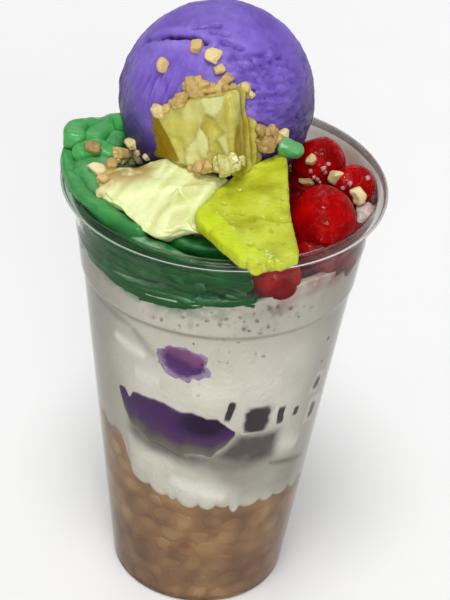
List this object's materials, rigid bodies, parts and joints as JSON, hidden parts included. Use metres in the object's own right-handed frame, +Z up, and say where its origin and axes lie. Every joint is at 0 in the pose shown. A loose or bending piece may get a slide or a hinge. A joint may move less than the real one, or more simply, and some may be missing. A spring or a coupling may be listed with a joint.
{
  "type": "layered iced dessert in a clear cup",
  "caption": "Clear tapered plastic cup of layered shaved-ice dessert with beans, jam and jelly, heaped with jelly strips, cherries, cream, custard and a scoop of purple ice cream.",
  "frame": {"origin": "centre of the flat underside of the cup", "axes": "+Z up along the cup's axis, -Y towards the front that the picture shows, +X to its right"},
  "size_m": [0.095, 0.1019, 0.187],
  "materials": {
    "clear_plastic": "clear, thin, glossy moulded plastic",
    "bean": "wet brown beans in syrup, seen through the wall",
    "milk_ice": "milky shaved ice, soft and slightly wet",
    "yam_jam": "dense purple yam jam, soft sheen",
    "dark_jelly": "dark clear jelly",
    "green_jelly": "wet green jelly strips",
    "cherry": "glossy red cherries in syrup",
    "cream": "thick pale yellow cream with soft folds",
    "custard": "lime-yellow slice with a soft, pitted face",
    "golden_custard": "golden, wet, glossy custard",
    "ice_cream": "purple ice cream, rough where the scoop dragged",
    "nut": "pale tan chopped nuts"
  },
  "bodies": {
    "root": {"cup": "clear_plastic", "beans": "bean", "shaved_ice": "milk_ice", "yam_jam": "yam_jam", "jam_lump_1": "yam_jam", "jam_lump_2": "yam_jam", "jam_lump_3": "yam_jam", "dark_jelly_1": "dark_jelly", "dark_jelly_2": "dark_jelly", "dark_jelly_3": "dark_jelly", "dark_jelly_4": "dark_jelly", "dark_jelly_5": "dark_jelly", "dark_jelly_6": "dark_jelly", "green_jelly": "green_jelly", "green_jelly_end": "green_jelly", "cherry_front": "cherry", "cherry_back": "cherry", "cherry_right": "cherry", "cherry_low": "cherry", "cherry_side": "cherry", "cream": "cream", "custard_wedge": "custard", "custard_chunk": "golden_custard", "scoop": "ice_cream"}
  },
  "joints": []
}
